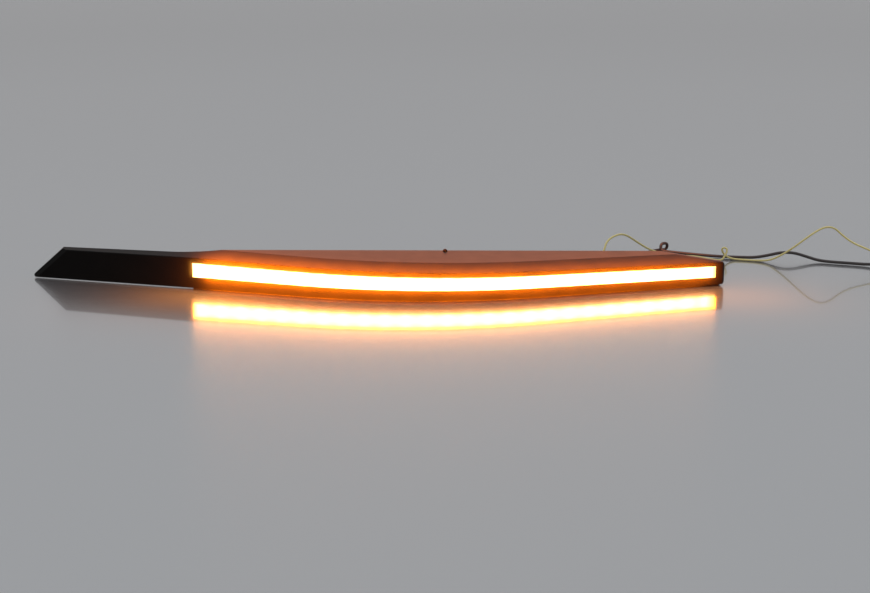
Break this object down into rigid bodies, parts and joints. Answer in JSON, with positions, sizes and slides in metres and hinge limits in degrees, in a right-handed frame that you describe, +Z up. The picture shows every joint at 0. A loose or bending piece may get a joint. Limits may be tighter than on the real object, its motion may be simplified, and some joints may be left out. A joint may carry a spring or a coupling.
{
  "type": "daytime running light",
  "caption": "Slim bowed bumper strip lamp with one long lit bar, a plain fin with a slanted end and two free leads.",
  "frame": {"origin": "centre of the base of the box round the lamp without its free leads", "axes": "+X along the lamp from the slanted fin to the squared end, lit face towards -Y, +Z up"},
  "size_m": [0.7017, 0.1501, 0.0311],
  "materials": {
    "black_shell": "satin moulded black",
    "opal_lens": "smooth opal, lit amber",
    "white_reflector": "matt white",
    "strip_board": "white solder mask",
    "amber_led": "amber resin",
    "white_led": "pale yellow phosphor",
    "black_resin": "matt black resin",
    "black_cover": "fine matt texture",
    "seal_rubber": "matt black rubber",
    "screw_steel": "zinc plated",
    "driver_laminate": "green solder mask",
    "can_aluminium": "drawn can",
    "ferrite": "dark grey ferrite",
    "header_nylon": "natural nylon",
    "black_lead": "smooth black insulation",
    "yellow_lead": "smooth yellow insulation",
    "link_insulation": "red insulation",
    "plug_nylon": "black nylon",
    "terminal_brass": "bright brass",
    "sleeve_vinyl": "translucent vinyl"
  },
  "bodies": {
    "root": {"front_housing": "black_shell", "diffuser_lens": "opal_lens", "reflector_frame": "white_reflector", "led_board": "strip_board", "amber_leds": "amber_led", "white_leds": "white_led", "led_resistors": "black_resin", "rear_cover": "black_cover", "cover_gasket": "seal_rubber", "cover_screws": "screw_steel", "driver_board": "driver_laminate", "driver_screws": "screw_steel", "driver_chip": "black_resin", "driver_capacitors": "can_aluminium", "driver_inductor": "ferrite", "lead_header": "header_nylon", "link_header": "header_nylon", "link_wires": "link_insulation", "power_grommet": "seal_rubber", "signal_grommet": "seal_rubber", "power_tail": "black_lead", "signal_tail": "yellow_lead", "power_lead": "black_lead", "signal_lead": "yellow_lead", "lead_plug": "plug_nylon", "plug_pins": "terminal_brass", "signal_sleeve": "sleeve_vinyl", "signal_bullet": "terminal_brass"}
  },
  "joints": []
}
